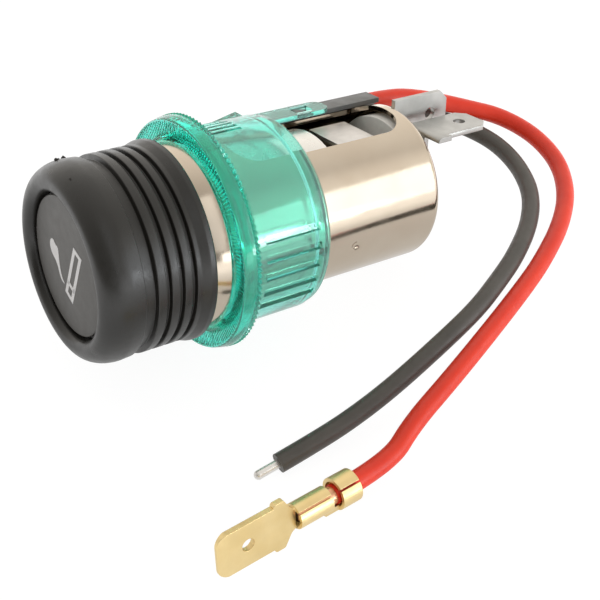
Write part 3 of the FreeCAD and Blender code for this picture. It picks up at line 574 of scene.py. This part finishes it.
def fluted(angle, middles, width, depth):
    """The tube's radius round its axis, cut to a flat floor at each flute: floor / cos(angle from it)."""
    radius = np.full_like(angle, ring_radius)
    for middle in middles:
        away = np.radians((angle - middle + 180) % 360 - 180)
        inside = (ring_radius * np.abs(np.sin(away)) < width / 2) & (np.cos(away) > 0)
        radius = np.where(inside, (ring_radius - depth) / np.cos(away), radius)
    return radius


def saw(angle, count):
    """A wave that falls from 1 to 0 and rises again, so many times round: |2 (share of a wave) - 1|."""
    return np.abs(2 * (angle * count / 360 % 1) - 1)


def ring_grid():
    """The ring's section carried round its axis: the front face is pressed in at every rib, the flange's
    rear edge rises and falls in a saw tooth, and the tube is cut back at the flutes."""
    section = outline([
        (ring_bore, 0, 0.1), (rib_inner, 0, 0), (rib_inner + cut_step, 0, 0), (rib_outer - cut_step, 0, 0),
        (rib_outer, 0, 0), (flange_front, 0, 0.3), (flange_radius, flange_rear / 2, 0.9),
        (flange_radius, tooth_front, 0), (flange_radius, tooth_front + cut_step, 0),
        (flange_radius, flange_rear, tooth_ease), (ring_radius, flange_rear, 0),
        (ring_radius, flange_rear + cut_step, 0), (ring_radius, flute_front, 0),
        (ring_radius, flute_front + cut_step, 0), (ring_radius, fine_end - cut_step, 0),
        (ring_radius, fine_end, 0), (ring_radius, flute_end - cut_step, 0), (ring_radius, flute_end, 0),
        (ring_radius, rim_step_front, 0.1), (rim_radius, rim_step_end, 0.1),
        (rim_radius, ring_length - rear_chamfer, 0.15), (rim_radius - rear_chamfer, ring_length, 0.15),
        (ring_bore, ring_length, 0.1), (ring_bore, rear_seat, 0.1),
        (tube_bore, rear_seat - bore_slope, 0.2), (tube_bore, flange_rear + bore_slope, 0.2),
        (ring_bore, flange_rear, 0.1), (ring_bore, 0, 0.1),
    ], steps=3)
    half_step = cut_step / 2
    angle = np.linspace(0, 360, ring_columns + 1)
    rib, tooth = saw(angle, ribs), saw(angle, teeth)
    radius, station = [np.repeat(column[:, None], ring_columns + 1, 1) for column in section.T]
    on_face = np.isclose(station, 0) & (radius > rib_inner + half_step) & (radius < rib_outer - half_step)
    station = station + on_face * rib_depth * np.clip(rib * 3 - 1, 0, 1)
    on_teeth = (radius > flange_radius - tooth_ease - half_step) & (station > tooth_front + half_step)
    on_tube = np.isclose(radius, ring_radius) & (station > flange_rear)
    on_fine = on_tube & (station > flange_rear + half_step) & (station < fine_end - half_step)
    on_flute = on_tube & (station > flute_front + half_step) & (station < flute_end - half_step)
    fine_radius = fluted(angle, fine_angles, fine_width, fine_depth)
    flute_radius = fluted(angle, flute_angles, flute_width, flute_depth)
    radius = radius + on_teeth * (tooth_rise * tooth - tooth_cut * (1 - tooth))
    radius = np.where(on_fine, np.minimum(radius, fine_radius), radius)
    radius = np.where(on_flute, np.minimum(radius, flute_radius), radius)
    turn = np.radians(angle)
    return laid(radius * np.sin(turn), station, radius * np.cos(turn))


arm_edge = closed(outline([
    (arm_left, rear_seat, 0.05), (arm_right, rear_seat, 0.05), (arm_right, arm_end, arm_tip),
    (arm_left, arm_end, arm_tip),
]))
slot_edge = closed(outline([
    (slot_left, slot_front, slot_corner), (slot_right, slot_front, slot_corner),
    (slot_right, slot_end, slot_corner), (slot_left, slot_end, slot_corner),
]))
arm_rows = [(arm_edge, arm_low), (arm_edge, arm_top), (slot_edge, arm_top), (slot_edge, arm_low),
            (arm_edge, arm_low)]
arm = np.stack([laid(edge[:, 0], edge[:, 1], height) for edge, height in arm_rows])
wedge_edge = closed(outline([
    (wedge_front, wedge_base, 0.05), (wedge_front, arm_low, 0.05), (wedge_end, wedge_peak, 0.1),
    (wedge_end, wedge_base, 0.05),
]))
wedge_middle = np.tile(wedge_edge[:-1].mean(0), (len(wedge_edge), 1))
wedge_rows = [(wedge_left, wedge_middle), (wedge_left, wedge_edge), (wedge_right, wedge_edge),
              (wedge_right, wedge_middle)]
wedge = np.stack([laid(side, edge[:, 0], edge[:, 1]) for side, edge in wedge_rows])
ring_grids = [ring_grid(), arm, wedge]
piece_of("green_ring", ring_grids, green_moulding(), "socket", ["light_ring"])


# Lamp holder. A black moulded saddle on the barrel by the window, bored for a small wire-ended lamp whose
# two legs run back inside it to the leads.
def eased_copy(name, node, material, body, ease, sharp=32.0):
    """A solid's own shape in whole faces, with its hard edges rounded by a small bevel, as pressing
    and moulding leave them."""
    mesh = frame["nodes"][node].data.copy()
    work = bmesh.new()
    work.from_mesh(mesh)
    bmesh.ops.remove_doubles(work, verts=work.verts, dist=1e-6)
    bmesh.ops.dissolve_limit(work, angle_limit=math.radians(0.4), verts=work.verts, edges=work.edges)
    work.to_mesh(mesh)
    work.free()
    mesh.shade_smooth()
    mesh.set_sharp_from_angle(angle=math.radians(sharp))
    piece = shown_piece(name, mesh, material, body, [node])
    if ease:
        round_edges = piece.modifiers.new("eased_edges", "BEVEL")
        round_edges.width = ease / 1000
        round_edges.segments = 2
        round_edges.limit_method = "ANGLE"
        round_edges.angle_limit = math.radians(sharp)
        round_edges.harden_normals = True
    return piece


def black_moulding(name, dark, pale, low_gloss, high_gloss):
    """Filled plastic: a fine spark-eroded grain, and soft clouds of shade and gloss."""
    material, tree, plastic = finish(name)
    tree.links.new(tinted(tree, grain(tree, 110), dark, pale), plastic.inputs["Base Color"])
    tree.links.new(ranged(tree, grain(tree, 700), low_gloss, high_gloss), plastic.inputs["Roughness"])
    fine = relief(tree, grain(tree, 9000, 2.0), 0.000006)
    tree.links.new(relief(tree, grain(tree, 240), 0.00004, fine), plastic.inputs["Normal"])
    plastic.inputs["Specular IOR Level"].default_value = 0.55
    return material


def lamp_envelope():
    """Thin clear glass."""
    material, tree, glass = finish("lamp_envelope")
    glass.inputs["Transmission Weight"].default_value = 1.0
    glass.inputs["IOR"].default_value = 1.45
    tree.links.new(ranged(tree, grain(tree, 600), 0.02, 0.06), glass.inputs["Roughness"])
    return material


def sheet_metal(name, dark, pale, low, high, drawn=(1, 1, 1)):
    """Plain metal strip: clouds of tone, rolling lines drawn out along the strip, and a worn satin gloss."""
    material, tree, metal = finish(name)
    tree.links.new(tinted(tree, grain(tree, 260, 4.0), dark, pale), metal.inputs["Base Color"])
    metal.inputs["Metallic"].default_value = 1.0
    tree.links.new(ranged(tree, grain(tree, 800, 4.0), low, high), metal.inputs["Roughness"])
    lines = relief(tree, grain(tree, 2600, 3.0, drawn), 0.000006)
    tree.links.new(relief(tree, grain(tree, 300), 0.00003, lines), metal.inputs["Normal"])
    return material


lengthwise = (1, 0.1, 1)
holder_black = black_moulding("holder_black", (0.105, 0.105, 0.10), (0.13, 0.13, 0.125), 0.45, 0.6)
tinned = sheet_metal("tinned_strip", (0.38, 0.375, 0.36), (0.47, 0.465, 0.445), 0.30, 0.44, lengthwise)
eased_copy("lamp_saddle", "lamp_holder", holder_black, "socket", 0.12)
eased_copy("lamp_glass_tube", "lamp_bulb", lamp_envelope(), "socket", 0)
eased_copy("lamp_legs", "lamp_leads", tinned, "socket", 0)


# Rear contact stack. A ceramic disc inside and a fibre washer outside, clamped to the barrel's base by a
# brass stud and a steel nut, which also hold the star of bimetal fingers and the live blade. The earth
# blade's foot is welded to the base.
def pale_insulation(name, dark, pale):
    """Pressed insulating board or ceramic: matt, speckled, with a gritty skin."""
    material, tree, board = finish(name)
    tree.links.new(tinted(tree, grain(tree, 900, 5.0), dark, pale), board.inputs["Base Color"])
    tree.links.new(ranged(tree, grain(tree, 500), 0.55, 0.75), board.inputs["Roughness"])
    tree.links.new(relief(tree, grain(tree, 2600, 4.0), 0.00002), board.inputs["Normal"])
    return material


crosswise = (0.1, 1, 1)
fibre = pale_insulation("pressed_fibre", (0.48, 0.46, 0.42), (0.60, 0.58, 0.53))
ceramic = pale_insulation("fired_ceramic", (0.80, 0.79, 0.76), (0.88, 0.87, 0.84))
bimetal = sheet_metal("bimetal_strip", (0.56, 0.54, 0.51), (0.76, 0.73, 0.70), 0.34, 0.5, crosswise)
brass = sheet_metal("brass_strip", (0.80, 0.61, 0.29), (0.90, 0.71, 0.37), 0.32, 0.44, lengthwise)
zinc = sheet_metal("zinc_steel", (0.50, 0.50, 0.50), (0.60, 0.60, 0.59), 0.25, 0.4)
eased_copy("ceramic_disc", "inner_insulator", ceramic, "socket", 0.15)
eased_copy("fibre_washer", "outer_insulator", fibre, "socket", 0.1)
eased_copy("bimetal_star", "bimetal_clip", bimetal, "socket", 0.06)
eased_copy("clamp_stud", "contact_stud", brass, "socket", 0.06)
eased_copy("clamp_nut", "stud_nut", zinc, "socket", 0.15)
eased_copy("level_blade", "live_blade", tinned, "socket", 0.1)
eased_copy("upright_blade", "earth_blade", tinned, "socket", 0.1)


# Lighter plug. A drawn steel sleeve in satin nickel runs in the barrel, with a web inside it. The coil
# spring bears on the web, and a steel stem passes through it to a cup with the glowing coil on its ceramic
# seat.
sleeve_radius, sleeve_bore, sleeve_end = 10.3, 9.8, 20.5
seat_front, seat_rear, seat_rim = -1.5, -0.9, 10.9
web_front, web_end, web_hole = 4.0, 4.8, 2.58
sleeve_outline = outline([
    (sleeve_bore, seat_front, 0.2), (seat_rim, seat_front, 0.2), (seat_rim, seat_rear, 0.2),
    (sleeve_radius, seat_rear, 0.1), (sleeve_radius, sleeve_end, 0.2), (sleeve_bore, sleeve_end, 0.2),
    (sleeve_bore, web_end, 0.2), (web_hole, web_end, 0.1), (web_hole, web_front, 0.1),
    (sleeve_bore, web_front, 0.2),
])
sleeve_plate = sheet_metal("satin_nickel", (0.72, 0.70, 0.66), (0.80, 0.78, 0.74), 0.24, 0.34)
oxide_strip = sheet_metal("oxidised_strip", (0.16, 0.15, 0.14), (0.26, 0.24, 0.22), 0.42, 0.6)
piece_of("plug_tube", [turned(closed(sleeve_outline))], sleeve_plate, "plug", ["plug_sleeve"])
spring = eased_copy("coil_spring", "return_spring", zinc, "plug", 0)
spring_points = np.empty(3 * len(spring.data.vertices))
spring.data.vertices.foreach_get("co", spring_points)
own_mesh(spring)
eased_copy("plug_stem", "stem", zinc, "knob", 0.08)
eased_copy("glow_cup", "element_cup", nickel, "knob", 0.06)
eased_copy("coil_seat", "element_ceramic", ceramic, "knob", 0.1)
eased_copy("glow_coil", "heating_coil", oxide_strip, "knob", 0)


# Knob. Moulded in black plastic: a round bulging front with a recess, ribs between grooves for the fingers,
# and a skirt at the rear that covers the collar when it is pushed in. A hub inside holds the stem.
knob_front, recess_floor, recess_radius = -17.6, -15.4, 9.65
lip_radius, bulge_radius, widest = 10.85, 13.2, -13.8
rib_radius, groove_floor = 13.1, 12.45
groove_stations = [-11.475, -9.13, -7.33, -5.6]
groove_widths = [1.85, 0.8, 0.8, 0.8]
groove_top, groove_bottom = 0.46, 0.35
knob_rear, band_radius, band_start, band_full = -2.55, 13.5, 2.05, 0.9
skirt_radius, skirt_depth = 12.95, 2.7
cavity_radius, cavity_end, hub_radius, hub_end = 11.5, -11.6, 4.2, -6.5
stem_radius, stem_start = 2.5, -10.5
quarter_turn = np.radians(np.linspace(0, 90, 20))
lip_width = lip_radius - recess_radius
inner_lip = np.column_stack([lip_radius - lip_width * np.cos(quarter_turn),
                             knob_front + lip_width * (1 - np.sin(quarter_turn))])
crown = np.column_stack([lip_radius + (bulge_radius - lip_radius) * np.sin(quarter_turn),
                         widest + (knob_front - widest) * np.cos(quarter_turn)])
knob_corners = [(0, recess_floor, 0), (recess_radius, recess_floor, 0.15)]
knob_corners += [(radius, station, 0) for radius, station in np.vstack([inner_lip, crown[1:]])]
for station, width in zip(groove_stations, groove_widths):
    knob_corners += [
        (rib_radius, station - width * groove_top, 0.14),
        (groove_floor, station - width * groove_bottom, 0.1),
        (groove_floor, station + width * groove_bottom, 0.1),
        (rib_radius, station + width * groove_top, 0.14),
    ]
knob_corners += [
    (rib_radius, knob_rear - band_start, 0.8), (band_radius, knob_rear - band_full, 0.8),
    (band_radius, knob_rear, 0.3), (skirt_radius, knob_rear, 0.2),
    (skirt_radius, knob_rear - skirt_depth, 0.3), (cavity_radius, knob_rear - skirt_depth, 0.3),
    (cavity_radius, cavity_end, 0.4), (hub_radius, cavity_end, 0.3), (hub_radius, hub_end, 0.2),
    (stem_radius, hub_end, 0.1), (stem_radius, stem_start, 0.1), (0, stem_start, 0),
]
knob_black = black_moulding("knob_black", (0.0095, 0.0088, 0.0072), (0.014, 0.013, 0.011), 0.27, 0.38)
knob_grid = turned(outline(knob_corners), columns=240)
piece_of("knob_shell", [knob_grid], knob_black, "knob", ["knob"])


# Dirt on the knob. Four dark crumbs stuck to the plastic: three on the top of the bulge, where they break
# its outline, and a speck further forward.
def crumb(angle, radius, station, size):
    """A lump of dirt: a ball whose radius wavers by sines of its two angles."""
    polar = np.linspace(0, np.pi, 11)[:, None]
    around = np.linspace(0, 2 * np.pi, 19)
    swell = size * (1 + 0.3 * np.sin(3 * around + station) * np.sin(polar) ** 2 + 0.2 * np.cos(4 * polar))
    turn = math.radians(angle)
    return laid(radius * math.sin(turn) + swell * np.sin(polar) * np.cos(around),
                station + swell * np.sin(polar) * np.sin(around),
                radius * math.cos(turn) + swell * np.cos(polar))


crumb_black = black_moulding("crumb_black", (0.010, 0.008, 0.006), (0.018, 0.015, 0.011), 0.6, 0.8)
crumb_places = [
    (-20.5, 13.2, -14.75, 0.22), (-21.5, 13.2, -14.35, 0.14), (-24.0, 13.25, -13.45, 0.24),
    (10.5, 12.72, -16.03, 0.16),
]
crumbs = [crumb(*place) for place in crumb_places]
piece_of("knob_dirt", crumbs, crumb_black, "knob", [])


# Face disc. A satin disc pressed into the knob's recess, printed in pale ink with the plain sign of a
# lit cigarette: a slanted bar with its glowing end, and a wisp of smoke.
disc_radius, disc_front = 9.25, -16.5
ink_front, ink_rear = disc_front - 0.03, disc_front + 0.02
stroke = 0.62
end_share, end_reach = 0.5, 0.9
disc_grey = black_moulding("disc_grey", (0.066, 0.063, 0.058), (0.076, 0.073, 0.068), 0.42, 0.5)
ink = black_moulding("pale_ink", (0.72, 0.72, 0.74), (0.80, 0.80, 0.82), 0.45, 0.6)
disc_outline = outline([
    (0, disc_front, 0), (disc_radius, disc_front, 0.2),
    (disc_radius, recess_floor, 0.05), (0, recess_floor, 0),
])
piece_of("knob_face", [turned(disc_outline, columns=160)], disc_grey, "knob", ["face_disc"])


def inked(left, right):
    """A flat band of ink between two lines of points (x, n) on the disc: its front, sides and back."""
    rows = [(left, ink_rear), (left, ink_front), (right, ink_front), (right, ink_rear), (left, ink_rear)]
    return np.stack([laid(line[:, 0], station, line[:, 1]) for line, station in rows])


def smoothed(points, count=40, rounds=6):
    """A line through points at even steps of length, rounded by running means."""
    run = stepped(points)
    even = np.linspace(0, run[-1], count)
    line = np.column_stack([np.interp(even, run, column) for column in points.T])
    for _ in range(rounds):
        line[1:-1] = (line[:-2] + 2 * line[1:-1] + line[2:]) / 4
    return line


bar = closed(np.array([(2.5, 3.7), (4.6, 2.85), (0.75, -5.0), (-1.25, -4.0)]))
bar_middle = bar[:4].mean(0)
bar_length = (bar[0] + bar[1] - bar[2] - bar[3]) / 4
bar_width = (bar[1] + bar[2] - bar[0] - bar[3]) / 4
shorter = bar_length * (1 - stroke / np.linalg.norm(bar_length))
narrower = bar_width * (1 - stroke / np.linalg.norm(bar_width))
inset = np.linalg.inv([bar_length, bar_width]) @ np.array([shorter, narrower])
inner_bar = bar_middle + (bar - bar_middle) @ inset
end_line = bar_middle - end_share * bar_length + np.array([[-1], [1]]) * bar_width * end_reach
end_half = bar_length / np.linalg.norm(bar_length) * stroke / 2
wisp = smoothed(np.array([
    (-3.5, 2.3, 0.02), (-3.7, 1.95, 0.9), (-3.65, 1.3, 1.3), (-3.35, 0.6, 1.15), (-2.95, -0.1, 0.65),
    (-2.65, -0.8, 0.36), (-2.45, -1.6, 0.28), (-2.2, -2.3, 0.26), (-1.85, -2.75, 0.24), (-1.25, -2.95, 0.02),
]))
wisp_line, wisp_half = wisp[:, :2], wisp[:, 2:]
heading = np.gradient(wisp_line, axis=0)
sideways = np.column_stack([-heading[:, 1], heading[:, 0]]) / np.linalg.norm(heading, axis=1)[:, None]
sign_grids = [inked(bar, inner_bar), inked(end_line - end_half, end_line + end_half),
              inked(wisp_line - sideways * wisp_half, wisp_line + sideways * wisp_half)]
piece_of("knob_sign", sign_grids, ink, "knob", [])


# Lead ends. A brass tab is crimped on the red lead, one crimp round its sheath and one round its copper
# strands. The black lead ends in a few millimetres of tinned core.
copper = sheet_metal("bare_copper", (0.70, 0.36, 0.22), (0.80, 0.45, 0.28), 0.25, 0.4, lengthwise)
bright_tin = sheet_metal("bright_tin", (0.82, 0.80, 0.77), (0.90, 0.88, 0.85), 0.34, 0.46, lengthwise)
eased_copy("brass_tab", "tab_terminal", brass, "socket", 0.08)
eased_copy("red_strands", "red_wire_core", copper, "socket", 0)
eased_copy("tinned_end", "black_wire_core", bright_tin, "socket", 0)
